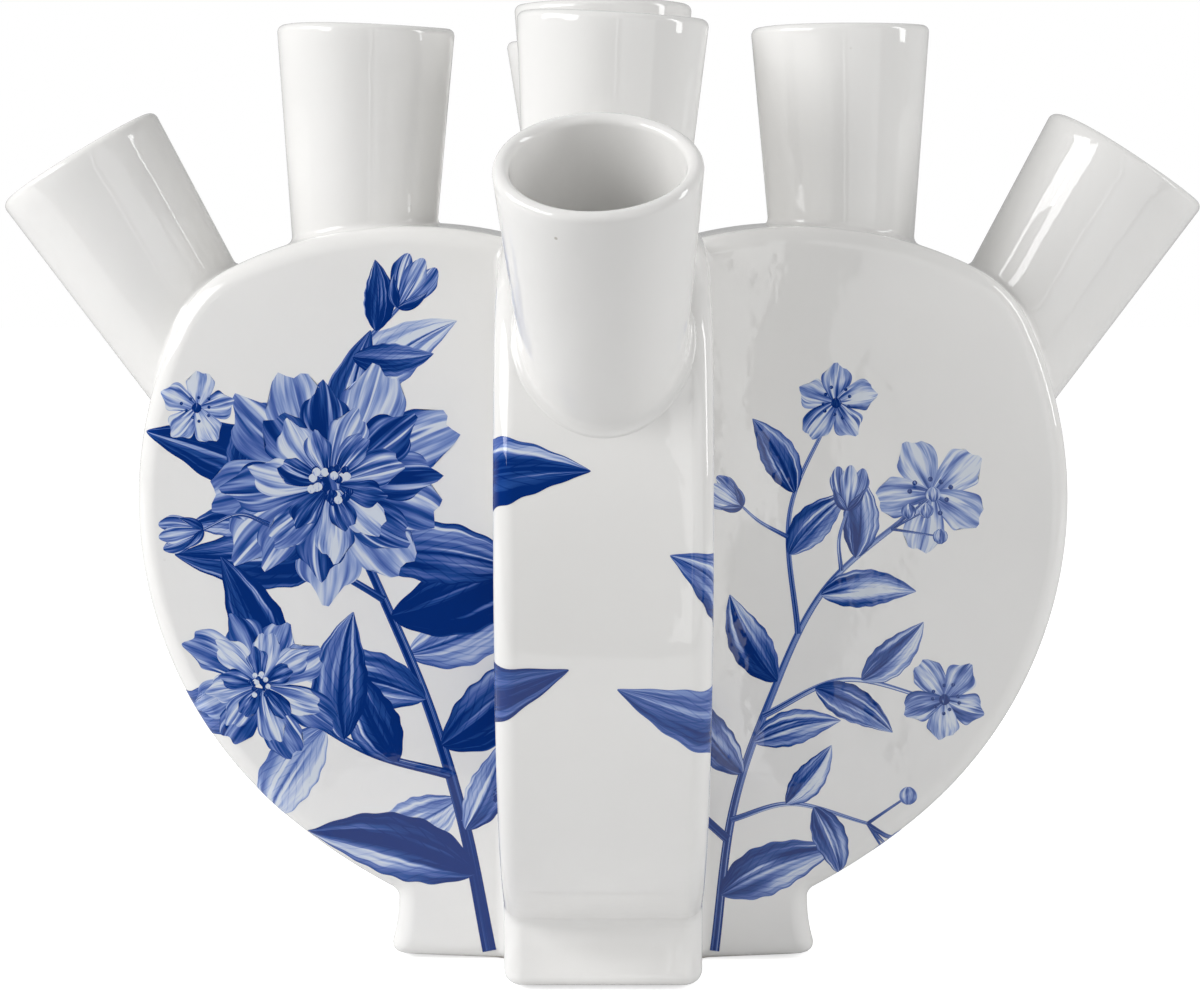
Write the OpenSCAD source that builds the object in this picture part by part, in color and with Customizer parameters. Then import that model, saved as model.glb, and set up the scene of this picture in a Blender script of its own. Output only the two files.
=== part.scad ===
// Tulipiere of white glazed porcelain: two flat, heart-shaped fan vases that cross at right angles.
// Each of the four hollow wings carries an upright and a slanted spout, and a ninth spout stands
// where the wings meet. The wings are mitred together over a cross-shaped foot ring, and thin coils
// of clay fill the four inner corners. Units are millimetres, +Z is up, and the foot stands on z = 0.

/* [Wings] */
// Thickness of a wing over both flat sides
wing_thickness = 38.5; // [34:0.5:44]
// Thickness of the cast wall
wall = 2.8; // [2.2:0.1:3.4]
// Rounding between a flat side and the edge band of a wing
edge_radius = 3.8; // [3.6:0.1:6]
// Greatest reach of a wing from the axis
wing_reach = 92; // [88:0.5:98]
// Radius of the edge from the neck up to the shoulder
belly_radius = 82.8; // [80:0.2:86]
// Reach of the middle of the shoulder from the axis
shoulder_reach = 77.7; // [75:0.1:79]
// Height of the middle of the shoulder
shoulder_height = 134.7; // [131:0.1:136]
// Radius of the edge across the shoulder, which carries the slanted spout
shoulder_radius = 78; // [60:1:90]
// Direction in which the shoulder faces, above level
shoulder_angle = 47.4; // [42:0.2:52]
// Reach of the highest point of the top edge from the axis
crest_reach = 38; // [34:0.5:42]
// Height of the highest point of the top edge
crest_height = 146.5; // [143:0.5:150]
// Radius of the top edge, which carries the upright spout
crest_radius = 80; // [72:1:90]

/* [Foot] */
// Height of the foot ring up to the neck
foot_height = 12.3; // [10:0.1:16]
// Reach of the neck from the axis
neck_reach = 41; // [37:0.5:45]
// Radius of the hollow above the neck
neck_radius = 5; // [4:0.2:8]
// Radius of the slight outward curve from the neck down to the table
flare_radius = 38; // [32:1:60]
// Rounding of the lower edge of the foot
foot_edge_radius = 2.4; // [1.2:0.2:3]
// Wall of the foot ring
foot_wall = 3.4; // [2.6:0.1:4.4]
// Height of the underside of the floor above the table
floor_rise = 5; // [3:0.5:6]
// Thickness of the floor
floor_thickness = 3.2; // [2.4:0.1:3.8]

/* [Spouts] */
// Outside diameter of a spout at its rim
rim_diameter = 35.6; // [31:0.2:36]
// Wall of a spout
spout_wall = 2.8; // [2:0.1:3.2]
// Angle between the side of a spout and its own axis
spout_flare = 4.5; // [2:0.5:5]
// Reach of an upright spout from the axis, where it sits on the wing
upright_reach = 48; // [46:0.5:52]
// Length of an upright spout above the wing
upright_length = 40.2; // [30:0.2:48]
// Inward lean of an upright spout
upright_lean = 1; // [0:0.5:3]
// Length of the centre spout above the point where the top edges meet the axis
centre_length = 53.8; // [44:0.2:62]
// Place of a slanted spout on the wing, as an angle round the centre of the belly
slant_seat = 24.8; // [22:0.2:28]
// Tilt of a slanted spout from upright
slant_tilt = 32; // [26:0.5:40]
// Length of a slanted spout above the wing
slant_length = 39.6; // [30:0.2:48]

/* [Hand fitting] */
// Sideways lean of the front upright spout, to the right
front_upright_sway = 2.6; // [-5:0.2:5]
// Sideways lean of the front slanted spout, to the right
front_slanted_sway = -1.4; // [-5:0.2:5]
// Sideways lean of the back upright spout, to the right
back_upright_sway = -4.4; // [-5:0.2:5]
// Leg of the clay coil in each inner corner
coil_leg = 2; // [1:0.2:4]

/* [Hidden] */
$fn = 96;

porcelain = [0.93, 0.93, 0.92];
biscuit = [0.86, 0.83, 0.78];

// Turns of the four wings about the axis
right_turn = 0;
back_turn = 90;
left_turn = 180;
front_turn = 270;

half_thickness = wing_thickness / 2;
// Overshoot of a cutting body past the face that it opens
past = 2;

// Centres of the round edges of a wing, as (reach, height)
neck_centre = [neck_reach + neck_radius, foot_height];
// Depth by which the hollow of the neck runs into the belly
neck_bite = 0.4;
belly_run = neck_centre[0] - wing_reach + belly_radius;
belly_rise = sqrt(pow(belly_radius + neck_radius - neck_bite, 2) - pow(belly_run, 2));
belly_centre = [wing_reach - belly_radius, foot_height + belly_rise];
shoulder_point = [shoulder_reach, shoulder_height];
shoulder_centre = shoulder_point - shoulder_radius * level_dir(shoulder_angle);
crest_centre = [crest_reach, crest_height - crest_radius];

// Where the top edge meets the axis
dip_height = crest_centre[1] + sqrt(pow(crest_radius, 2) - pow(crest_reach, 2));

flare_centre = [neck_reach + flare_radius, foot_height];
flare_turn = asin(foot_height / flare_radius);
foot_reach = flare_centre[0] - flare_radius * cos(flare_turn);

rim_radius = rim_diameter / 2;
// Swelling of the rounded lip past each side of the wall
lip_swell = 0.1;
lip_radius = spout_wall / 2 + lip_swell;

// Seats of the spouts on the edge of a wing
crest_run = upright_reach - crest_reach;
upright_seat = [upright_reach, 0, crest_centre[1] + sqrt(pow(crest_radius, 2) - pow(crest_run, 2))];
slant_seat_point = belly_centre + belly_radius * level_dir(slant_seat);
slanted_seat = [slant_seat_point[0], 0, slant_seat_point[1]];
// Depth below the seat to which a spout is drawn before its foot is cut to the wing
spout_root = 34;

// Top of the corner coils, where the flat sides of the wings end
corner_run = half_thickness - crest_reach;
coil_top = crest_centre[1] + sqrt(pow(crest_radius - edge_radius, 2) - pow(corner_run, 2));

function level_dir(angle) = [cos(angle), sin(angle)];

// Round flat-sided disc with both its edges rounded, and every face moved inward by the inset
module disc(centre, radius, inset) {
    half = half_thickness - inset;
    corner = edge_radius - inset;
    translate(centre)
        rotate_extrude() {
            translate([0, -half])
                square([radius - inset - corner, 2 * half]);
            translate([0, -half + corner])
                square([radius - inset, 2 * (half - corner)]);
            for (side = [-1, 1])
                translate([radius - inset - corner, side * (half - corner)])
                    circle(corner);
        }
}

// Spool that hollows the end of a wing to a radius and rounds the two edges there
module spool(centre, radius, inset) {
    half = half_thickness - inset;
    corner = edge_radius - inset;
    translate(centre)
        rotate_extrude()
            difference() {
                translate([0, -half - past])
                    square([radius + inset + corner, 2 * (half + past)]);
                translate([radius + inset, -half + corner])
                    square([corner + past, 2 * (half - corner)]);
                for (side = [-1, 1])
                    translate([radius + inset + corner, side * (half - corner)])
                        circle(corner);
            }
}

// Solid form of one wing, reaching along +X, with every face moved inward by the inset
module wing_form(inset, below) {
    rotate([90, 0, 0])
        difference() {
            union() {
                intersection() {
                    disc(belly_centre, belly_radius, inset);
                    disc(shoulder_centre, shoulder_radius, inset);
                    disc(crest_centre, crest_radius, inset);
                }
                linear_extrude(2 * (half_thickness - inset), center = true)
                    polygon([
                        [-half_thickness, foot_height - below],
                        neck_centre - [0, below],
                        neck_centre,
                        (neck_centre + belly_centre) / 2,
                        [-half_thickness, (neck_centre[1] + belly_centre[1]) / 2]
                    ]);
            }
            spool(neck_centre, neck_radius, inset);
        }
}

// Quarter of the plan that belongs to one wing, above the foot and up to the mitres with its neighbours
module mitre() {
    far = wing_reach + past;
    translate([0, 0, foot_height])
        linear_extrude(crest_height)
            polygon([[0, 0], [far, -far], [far, far]]);
}

// Spout below its rim, a flared tube with a rounded lip
module spout_blank(length) {
    slope = [sin(spout_flare), cos(spout_flare)];
    across = [cos(spout_flare), -sin(spout_flare)] * spout_wall / 2;
    lip_centre = [rim_radius - lip_radius, -lip_radius];
    rotate_extrude()
        polygon([
            lip_centre + across,
            lip_centre + across - length * slope,
            lip_centre - across - length * slope,
            lip_centre - across
        ]);
    rotate_extrude()
        translate(lip_centre)
            circle(lip_radius);
}

// Space inside a spout, from the middle of its lip down
module spout_bore(length) {
    mouth = rim_radius - lip_radius - spout_wall / 2 / cos(spout_flare);
    translate([0, 0, -lip_radius - length])
        cylinder(h = length, r1 = mouth - length * tan(spout_flare), r2 = mouth);
}

// Puts a spout's rim at the end of its axis, over a seat on the wing
module stand(seat, tilt, sway, length) {
    translate(seat)
        rotate([sway, tilt, 0])
            translate([0, 0, length])
                children();
}

module upright_stand(sway) {
    stand(upright_seat, -upright_lean, sway, upright_length)
        children();
}

module slanted_stand(sway) {
    stand(slanted_seat, slant_tilt, sway, slant_length)
        children();
}

module centre_stand() {
    stand([0, 0, dip_height], 0, 0, centre_length)
        children();
}

// Hollow wing with a hole pierced under each of its spouts
module wing(turn, upright_sway, slanted_sway) {
    color(porcelain)
        rotate(turn)
            difference() {
                intersection() {
                    difference() {
                        wing_form(0, 0);
                        wing_form(wall, past);
                    }
                    mitre();
                }
                upright_stand(upright_sway)
                    spout_bore(upright_length + spout_root);
                slanted_stand(slanted_sway)
                    spout_bore(slant_length + spout_root);
                centre_stand()
                    spout_bore(centre_length + spout_root);
            }
}

// Upright spout, its foot cut to the top edge of its wing
module upright_spout(turn, sway) {
    color(porcelain)
        rotate(turn)
            difference() {
                upright_stand(sway)
                    spout_blank(upright_length + spout_root);
                wing_form(0, 0);
            }
}

// Slanted spout, its foot cut to the shoulder of its wing
module slanted_spout(turn, sway) {
    color(porcelain)
        rotate(turn)
            difference() {
                slanted_stand(sway)
                    spout_blank(slant_length + spout_root);
                wing_form(0, 0);
            }
}

// Tallest spout, its foot cut to the four top edges that fall towards the axis
module centre_spout() {
    color(porcelain)
        difference() {
            centre_stand()
                spout_blank(centre_length + spout_root);
            for (turn = [right_turn, back_turn, left_turn, front_turn])
                rotate(turn)
                    intersection() {
                        wing_form(0, 0);
                        mitre();
                    }
        }
}

// Inside of the foot ring in plan, which the floor fills
module cross_plan(reach, half_width) {
    square([2 * reach, 2 * half_width], center = true);
    square([2 * half_width, 2 * reach], center = true);
}

// One arm of the foot, flared along its wing and rounded at the table
module foot_arm() {
    intersection() {
        rotate([90, 0, 0])
            difference() {
                linear_extrude(wing_thickness, center = true)
                    square([flare_centre[0], foot_height]);
                spool(flare_centre, flare_radius, 0);
            }
        rotate([90, 0, 0])
            linear_extrude(wing_thickness + past, center = true)
                rounded_foot(foot_reach);
        rotate([90, 0, 90])
            linear_extrude(foot_reach)
                rounded_foot(half_thickness);
    }
}

// Upright outline of the foot with its two lower corners rounded
module rounded_foot(half_width) {
    translate([-half_width, foot_edge_radius])
        square([2 * half_width, foot_height]);
    translate([-half_width + foot_edge_radius, 0])
        square([2 * (half_width - foot_edge_radius), foot_height]);
    for (side = [-1, 1])
        translate([side * (half_width - foot_edge_radius), foot_edge_radius])
            circle(foot_edge_radius);
}

// Cross-shaped ring on which the wings stand
module foot_ring() {
    color(biscuit)
        difference() {
            for (turn = [right_turn, back_turn, left_turn, front_turn])
                rotate(turn)
                    foot_arm();
            translate([0, 0, -past])
                linear_extrude(foot_height + 2 * past)
                    cross_plan(neck_reach - foot_wall, half_thickness - foot_wall);
        }
}

// Floor that closes the foot ring and holds the water
module floor_plate() {
    color(porcelain)
        translate([0, 0, floor_rise])
            linear_extrude(floor_thickness)
                cross_plan(neck_reach - foot_wall, half_thickness - foot_wall);
}

// Clay coils smoothed into the four inner corners, from the neck to the top of the flat sides
module luting_coils() {
    color(porcelain)
        for (turn = [right_turn, back_turn, left_turn, front_turn])
            rotate(turn)
                translate([half_thickness, half_thickness, foot_height])
                    linear_extrude(coil_top - foot_height)
                        difference() {
                            square(coil_leg);
                            translate([coil_leg, coil_leg])
                                circle(coil_leg);
                        }
}

wing(front_turn, -front_upright_sway, -front_slanted_sway);  // front_wing
wing(right_turn, 0, 0);  // right_wing
wing(back_turn, back_upright_sway, 0);  // back_wing
wing(left_turn, 0, 0);  // left_wing
upright_spout(front_turn, -front_upright_sway);  // front_upright_spout
upright_spout(right_turn, 0);  // right_upright_spout
upright_spout(back_turn, back_upright_sway);  // back_upright_spout
upright_spout(left_turn, 0);  // left_upright_spout
slanted_spout(front_turn, -front_slanted_sway);  // front_slanted_spout
slanted_spout(right_turn, 0);  // right_slanted_spout
slanted_spout(back_turn, 0);  // back_slanted_spout
slanted_spout(left_turn, 0);  // left_slanted_spout
centre_spout();
foot_ring();
floor_plate();
luting_coils();
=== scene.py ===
"""White porcelain tulipiere with blue transfer flowers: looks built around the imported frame."""
import math

import bmesh
import bpy
import numpy as np
from mathutils import Euler, Matrix, Vector
from mathutils.bvhtree import BVHTree


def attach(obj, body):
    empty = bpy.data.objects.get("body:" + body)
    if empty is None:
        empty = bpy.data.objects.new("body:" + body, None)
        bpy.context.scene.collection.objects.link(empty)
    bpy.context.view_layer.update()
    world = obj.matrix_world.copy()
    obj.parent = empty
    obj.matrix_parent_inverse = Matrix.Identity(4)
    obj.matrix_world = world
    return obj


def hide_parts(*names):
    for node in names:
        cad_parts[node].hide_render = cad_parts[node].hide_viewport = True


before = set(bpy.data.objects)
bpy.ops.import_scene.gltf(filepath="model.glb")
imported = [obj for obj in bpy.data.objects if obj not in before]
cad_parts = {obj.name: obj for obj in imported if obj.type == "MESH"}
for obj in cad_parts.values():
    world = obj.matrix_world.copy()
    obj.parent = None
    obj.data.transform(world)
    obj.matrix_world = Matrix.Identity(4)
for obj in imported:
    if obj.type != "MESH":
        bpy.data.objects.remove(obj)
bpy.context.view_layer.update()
bpy.ops.object.select_all(action="DESELECT")

# Glaze: a clear, glossy glaze over white porcelain, dipped and fired. It lies in slow waves, has a faint
# orange peel and carries a few tiny specks.


def glaze_material(name, bare_below=None, tint=None):
    """Glazed porcelain, ground bare below a height if one is given, or coloured by the nodes that tint makes."""
    material = bpy.data.materials.new(name)
    material.use_nodes = True
    nodes, links = material.node_tree.nodes, material.node_tree.links
    shader = nodes["Principled BSDF"]
    shader.inputs["IOR"].default_value = 1.52
    place = nodes.new("ShaderNodeTexCoord")

    def noise(scale, detail):
        node = nodes.new("ShaderNodeTexNoise")
        node.inputs["Scale"].default_value = scale
        node.inputs["Detail"].default_value = detail
        links.new(place.outputs["Object"], node.inputs["Vector"])
        return node

    def ramp(source, stops):
        node = nodes.new("ShaderNodeValToRGB")
        while len(node.color_ramp.elements) < len(stops):
            node.color_ramp.elements.new(0.5)
        for element, (at, colour) in zip(node.color_ramp.elements, stops):
            element.position = at
            element.color = (*colour, 1)
        links.new(source, node.inputs["Fac"])
        return node

    def mix(kind, factor, first, second):
        node = nodes.new("ShaderNodeMix")
        node.data_type = "RGBA"
        node.blend_type = kind
        for socket, value in ((node.inputs["Factor"], factor), (node.inputs["A"], first),
                              (node.inputs["B"], second)):
            if hasattr(value, "is_output"):
                links.new(value, socket)
            else:
                socket.default_value = value
        return node.outputs["Result"]

    cloud = noise(26, 3)
    body = ramp(cloud.outputs["Fac"], [(0.3, (0.815, 0.808, 0.792)), (0.7, (0.845, 0.838, 0.822))])
    specks = nodes.new("ShaderNodeTexVoronoi")
    specks.inputs["Scale"].default_value = 95
    links.new(place.outputs["Object"], specks.inputs["Vector"])
    dots = ramp(specks.outputs["Distance"], [(0.022, (1, 1, 1)), (0.034, (0, 0, 0))])
    scarce = ramp(noise(60, 0).outputs["Fac"], [(0.60, (0, 0, 0)), (0.66, (1, 1, 1))])
    speck_mask = mix("MULTIPLY", 1.0, dots.outputs["Color"], scarce.outputs["Color"])
    speck_colour = (0.55, 0.52, 0.48, 1)
    colour = mix("MIX", speck_mask, body.outputs["Color"], speck_colour)

    gloss = nodes.new("ShaderNodeMapRange")
    gloss.inputs["To Min"].default_value = 0.012
    gloss.inputs["To Max"].default_value = 0.04
    links.new(noise(70, 4).outputs["Fac"], gloss.inputs["Value"])
    rough = gloss.outputs["Result"]

    waves, runs, peel = (24, 0.0011), (75, 0.00014), (420, 0.00002)
    under = None
    for scale, swing in (waves, runs, peel):
        bump = nodes.new("ShaderNodeBump")
        bump.inputs["Distance"].default_value = swing
        links.new(noise(scale, 1).outputs["Fac"], bump.inputs["Height"])
        if under is not None:
            links.new(under.outputs["Normal"], bump.inputs["Normal"])
        under = bump
    links.new(under.outputs["Normal"], shader.inputs["Normal"])

    if bare_below is not None:
        ragged_by, blend_over, bare_roughness = 0.0006, 0.0003, 0.75
        split = nodes.new("ShaderNodeSeparateXYZ")
        links.new(place.outputs["Object"], split.inputs["Vector"])
        ragged = nodes.new("ShaderNodeMath")
        ragged.operation = "MULTIPLY_ADD"
        ragged.inputs[1].default_value = ragged_by
        links.new(noise(160, 2).outputs["Fac"], ragged.inputs[0])
        links.new(split.outputs["Z"], ragged.inputs[2])
        bare = nodes.new("ShaderNodeMapRange")
        bare.inputs["From Min"].default_value = bare_below
        bare.inputs["From Max"].default_value = bare_below + blend_over
        bare.inputs["To Min"].default_value = 1
        bare.inputs["To Max"].default_value = 0
        links.new(ragged.outputs[0], bare.inputs["Value"])
        grit = ramp(noise(900, 3).outputs["Fac"], [(0.3, (0.60, 0.57, 0.52)), (0.7, (0.74, 0.71, 0.66))])
        colour = mix("MIX", bare.outputs["Result"], colour, grit.outputs["Color"])
        dull = nodes.new("ShaderNodeMix")
        dull.inputs["B"].default_value = bare_roughness
        links.new(bare.outputs["Result"], dull.inputs["Factor"])
        links.new(rough, dull.inputs["A"])
        rough = dull.outputs["Result"]

    if tint:
        colour = tint(nodes, links, ramp)
    links.new(colour, shader.inputs["Base Color"])
    links.new(rough, shader.inputs["Roughness"])
    return material


glaze = glaze_material("clear_glaze")

# Four wings: each a hollow half heart, slip-cast with a flat side, a rounded edge and a curved band, pierced
# for its spouts and mitred to its neighbours on the axis. One is modelled along +X and turned four times.
half = 0.01925
wall = 0.0028
edge_radius = 0.0038
edge_steps = 7
waist = 0.012361
neck_reach = 0.041
neck_centre = (0.0434, waist)
keel_centre = (-0.01476, 0.12006)
keel_radius = 0.12
belly_centre = (0.0092, 0.09158)
belly_radius = 0.0828
shoulder_centre = (0.06372, 0.11849)
shoulder_radius = 0.022
crest_centre = (0.038, 0.0665)
crest_radius = 0.08
neck_turn = 118.37
keel_turn = -50.0
belly_turn = 26.27
shoulder_turn = 63.68
axis_turn = 118.36
spout_flare = math.tan(math.radians(4.5))
mouth_inner = 0.014896
mouth_outer = 0.017704
lip_radius = 0.0014
lip_depth = 0.0015
upright = dict(seat=(0.048, 0, 0.14587), tilt=-1.0, length=0.0402)
slanted = dict(seat=(0.08436, 0, 0.12631), tilt=32.0, length=0.0396)
centre = dict(seat=(0, 0, 0.1369), tilt=0.0, length=0.0538)


def stand(spot, sway=0.0, turn=0.0):
    """The frame of a spout's rim: its seat, its tilt and sideways sway in degrees, and its wing's turn."""
    lean = Euler((math.radians(sway), math.radians(spot["tilt"]), 0), "XYZ").to_matrix().to_4x4()
    return (Matrix.Rotation(math.radians(turn), 4, "Z") @ Matrix.Translation(spot["seat"]) @ lean
            @ Matrix.Translation((0, 0, spot["length"])))


bpy.ops.mesh.primitive_plane_add(size=0.01)
wing = bpy.context.object
bpy.ops.object.mode_set(mode="EDIT")
bpy.ops.mesh.select_all(action="SELECT")
bpy.ops.mesh.merge(type="CENTER")
bpy.ops.transform.translate(value=(neck_reach, 0, waist))
for (x, z), first, last, steps in (
        (neck_centre, 180, neck_turn, 8), (keel_centre, neck_turn - 180, keel_turn, 10),
        (belly_centre, keel_turn, belly_turn, 50), (shoulder_centre, belly_turn, shoulder_turn, 14),
        (crest_centre, shoulder_turn, axis_turn, 40)):
    bpy.ops.mesh.spin(steps=steps, angle=math.radians(last - first), center=(x, 0, z), axis=(0, 1, 0))
edit = bmesh.from_edit_mesh(wing.data)
crest_end = next(v for v in edit.verts if v.select)
drop = crest_end.co.z - waist
bpy.ops.mesh.extrude_region_move(TRANSFORM_OT_translate={"value": (0, 0, -drop)})
bpy.ops.mesh.select_all(action="SELECT")
bpy.ops.mesh.edge_face_add()
bpy.ops.mesh.extrude_region_move(TRANSFORM_OT_translate={"value": (0, 2 * half, 0)})
bpy.ops.mesh.select_all(action="SELECT")
bpy.ops.transform.translate(value=(0, -half, 0))
bpy.ops.mesh.normals_make_consistent(inside=False)
near = 1e-5


def pick(piece, kind, test):
    """Selects the edges or faces of the mesh in edit mode that pass the test, and nothing else."""
    bpy.ops.mesh.select_mode(type=kind)
    bpy.ops.mesh.select_all(action="DESELECT")
    mesh = bmesh.from_edit_mesh(piece.data)
    for item in mesh.edges if kind == "EDGE" else mesh.faces:
        if test(item):
            item.select_set(True)
    mesh.select_flush_mode()
    bmesh.update_edit_mesh(piece.data)


def on_waist(vert):
    return abs(vert.co.z - waist) < near


def on_axis(vert):
    return abs(vert.co.x) < near


def along_outline(edge):
    level = abs(edge.verts[0].co.y - edge.verts[1].co.y) < near
    return level and not all(map(on_waist, edge.verts)) and not all(map(on_axis, edge.verts))


pick(wing, "FACE", lambda face: all(map(on_waist, face.verts)) or all(map(on_axis, face.verts)))
bpy.ops.mesh.delete(type="ONLY_FACE")
pick(wing, "EDGE", along_outline)
bpy.ops.mesh.bevel(offset=edge_radius, segments=edge_steps, profile=0.5, affect="EDGES")
band = half - edge_radius
crown = 0.0001
crown_fade = 0.02
band_cuts = 5


def crown_at(across, height):
    """How far the band swells between its two edges. It flattens out towards the foot."""
    fade = min(1.0, max(0.0, (height - waist) / crown_fade))
    return crown * max(0.0, 1 - (across / band) ** 2) * fade


pick(wing, "EDGE", lambda edge: abs(abs(edge.verts[0].co.y - edge.verts[1].co.y) - 2 * band) < near)
bpy.ops.mesh.subdivide(number_cuts=band_cuts)
edit = bmesh.from_edit_mesh(wing.data)
swell = {vert: vert.normal * crown_at(vert.co.y, vert.co.z) for vert in edit.verts}
for vert, step in swell.items():
    vert.co += step
bmesh.update_edit_mesh(wing.data)
bpy.ops.object.mode_set(mode="OBJECT")
shell = wing.modifiers.new("wall", "SOLIDIFY")
shell.thickness = wall
shell.offset = -1
bpy.ops.object.modifier_apply(modifier=shell.name)
bore_depth = 0.066
bore_sides = 96
for spot in (upright, slanted, centre):
    rim = stand(spot) @ Matrix.Translation((0, 0, -bore_depth / 2))
    bpy.ops.mesh.primitive_cone_add(vertices=bore_sides, radius1=mouth_inner - bore_depth * spout_flare,
                                    radius2=mouth_inner, depth=bore_depth)
    bore = bpy.context.object
    bore.data.transform(rim)
    bpy.context.view_layer.objects.active = wing
    cut = wing.modifiers.new("bore", "BOOLEAN")
    cut.object = bore
    bpy.ops.object.modifier_apply(modifier=cut.name)
    bpy.data.objects.remove(bore)
bpy.ops.object.select_all(action="DESELECT")
wing.select_set(True)
bpy.context.view_layer.objects.active = wing
bpy.ops.object.mode_set(mode="EDIT")
for side in (-1, 1):
    bpy.ops.mesh.select_all(action="SELECT")
    bpy.ops.mesh.bisect(plane_co=(0, 0, 0), plane_no=(1, side, 0), clear_inner=True, use_fill=True)
bpy.ops.mesh.select_all(action="SELECT")
bpy.ops.mesh.remove_doubles(threshold=2 * near)
for depth in (half, half - wall):
    pick(wing, "FACE", lambda face: all(abs(abs(v.co.y) - depth) < 2 * near for v in face.verts))
    bpy.ops.mesh.dissolve_faces()
    bpy.ops.mesh.quads_convert_to_tris(ngon_method="BEAUTY")
bpy.ops.mesh.select_all(action="SELECT")
bpy.ops.mesh.dissolve_degenerate(threshold=1e-6)
bpy.ops.mesh.normals_make_consistent(inside=False)
bpy.ops.object.mode_set(mode="OBJECT")
crease = math.radians(40)
bpy.ops.object.shade_smooth_by_angle(angle=crease)
wing.modifiers.new("flat_sides", "WEIGHTED_NORMAL").keep_sharp = True
wing.data.materials.append(glaze)
turns = {"right": 0, "back": 90, "left": 180, "front": 270}
wings = {}
for side, turn in turns.items():
    piece = wing if side == "right" else wing.copy()
    if side != "right":
        piece.data = wing.data.copy()
        piece.data.transform(Matrix.Rotation(math.radians(turn), 4, "Z"))
        bpy.context.collection.objects.link(piece)
    piece.name = f"{side}_wing_cast"
    wings[side] = piece
    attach(piece, "root")
    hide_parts(f"{side}_wing")
bpy.ops.object.select_all(action="DESELECT")

# Corner fillets: slip and a thin coil of clay smoothed into the four inner corners, up the flat sides and
# over the rounded top edges, where the wings run into each other.
fillet = 0.0022
corner_top = 0.14036
fillet_steps = 8
tuck = 0.0004
over_top = (12, 24, 36, 48, 60, 70, 78, 84)
levels = [waist - tuck, 0.05, 0.09, 0.125, corner_top]
levels += [corner_top + edge_radius * math.sin(math.radians(angle)) for angle in over_top]
bpy.ops.mesh.primitive_circle_add(vertices=fillet_steps + 2, radius=0.001, fill_type="NGON")
coil = bpy.context.object
bpy.ops.object.mode_set(mode="EDIT")


def corner_ring(height):
    """The coil's section at a height: a point tucked into the corner, and the hollow arc that shows."""
    over = max(0.0, height - corner_top) / edge_radius
    back = half - edge_radius * (1 - math.sqrt(1 - over * over))
    ring = [Vector((back - tuck, back - tuck, height))]
    for step in range(fillet_steps + 1):
        at = math.radians(90 * step / fillet_steps)
        ring.append(Vector((back + fillet * (1 - math.sin(at)), back + fillet * (1 - math.cos(at)), height)))
    return ring


ring_gap = 0.001
edit = bmesh.from_edit_mesh(coil.data)
place = edit.verts.layers.int.new("place")
for number, vert in enumerate(edit.verts):
    vert[place] = number
for number, height in enumerate(levels):
    if number:
        bpy.ops.mesh.extrude_region_move(TRANSFORM_OT_translate={"value": (0, 0, ring_gap)})
    edit = bmesh.from_edit_mesh(coil.data)
    place = edit.verts.layers.int["place"]
    ring = corner_ring(height)
    for vert in edit.verts:
        if vert.select:
            vert.co = ring[vert[place]]
    bmesh.update_edit_mesh(coil.data)
edit.verts.layers.int.remove(place)
bpy.ops.mesh.select_all(action="SELECT")
bpy.ops.mesh.normals_make_consistent(inside=False)
bpy.ops.object.mode_set(mode="OBJECT")
bpy.ops.object.shade_smooth_by_angle(angle=math.radians(50))
quarter = coil.data.copy()
whole = bmesh.new()
for turn in turns.values():
    part = quarter.copy()
    part.transform(Matrix.Rotation(math.radians(turn), 4, "Z"))
    whole.from_mesh(part)
whole.to_mesh(coil.data)
coil.data.materials.append(glaze)
coil.name = "corner_fillets"
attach(coil, "root")
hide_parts("luting_coils")
bpy.ops.object.select_all(action="DESELECT")

# Nine spouts: thrown or cast tubes with a rounded lip, slightly flared, cut to the wing and luted on with a
# small smoothed fillet. One plain tube is modelled, and each copy's foot is fitted to the wings under it.
around = 112
fillet_run = 0.0015
front_slanted = dict(seat=(0.082349, 0, 0.127654), tilt=35.5, length=0.0391, skew=0.0895)
longest = 0.08
seam = 0.0001
root = 0.0005
sways = {"front_upright_spout": -2.6, "back_upright_spout": -4.4, "front_slanted_spout": 1.4}
first_seed = 40
outer_rings, lip_rings, inner_rings, skirt_rings = 12, 9, 12, 6
ring_count = 1 + skirt_rings + outer_rings + lip_rings + inner_rings
bpy.ops.mesh.primitive_circle_add(vertices=around, radius=mouth_outer)
tube = bpy.context.object
bpy.ops.object.mode_set(mode="EDIT")
pick(tube, "EDGE", lambda edge: True)
for ring in range(1, ring_count):
    bpy.ops.mesh.extrude_region_move(TRANSFORM_OT_translate={"value": (0, 0, ring_gap)})
pick(tube, "EDGE", lambda edge: len(edge.link_faces) == 1)
bpy.ops.object.mode_set(mode="OBJECT")
grid = np.zeros((ring_count, around), int)
for vert in tube.data.vertices:
    slot = round(math.atan2(vert.co.y, vert.co.x) / (2 * math.pi) * around) % around
    grid[round(vert.co.z / ring_gap), slot] = vert.index

ground_points, ground_faces = [], []
for piece in wings.values():
    start = len(ground_points)
    ground_points += [v.co.copy() for v in piece.data.vertices]
    ground_faces += [[start + n for n in f.vertices] for f in piece.data.polygons]
ground = BVHTree.FromPolygons(ground_points, ground_faces)
bpy.ops.object.mode_set(mode="EDIT")
bpy.ops.mesh.bridge_edge_loops()
bpy.ops.mesh.select_all(action="SELECT")
bpy.ops.mesh.normals_make_consistent(inside=False)
bpy.ops.object.mode_set(mode="OBJECT")
bpy.ops.object.shade_smooth()
tube.data.materials.append(glaze)


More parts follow.
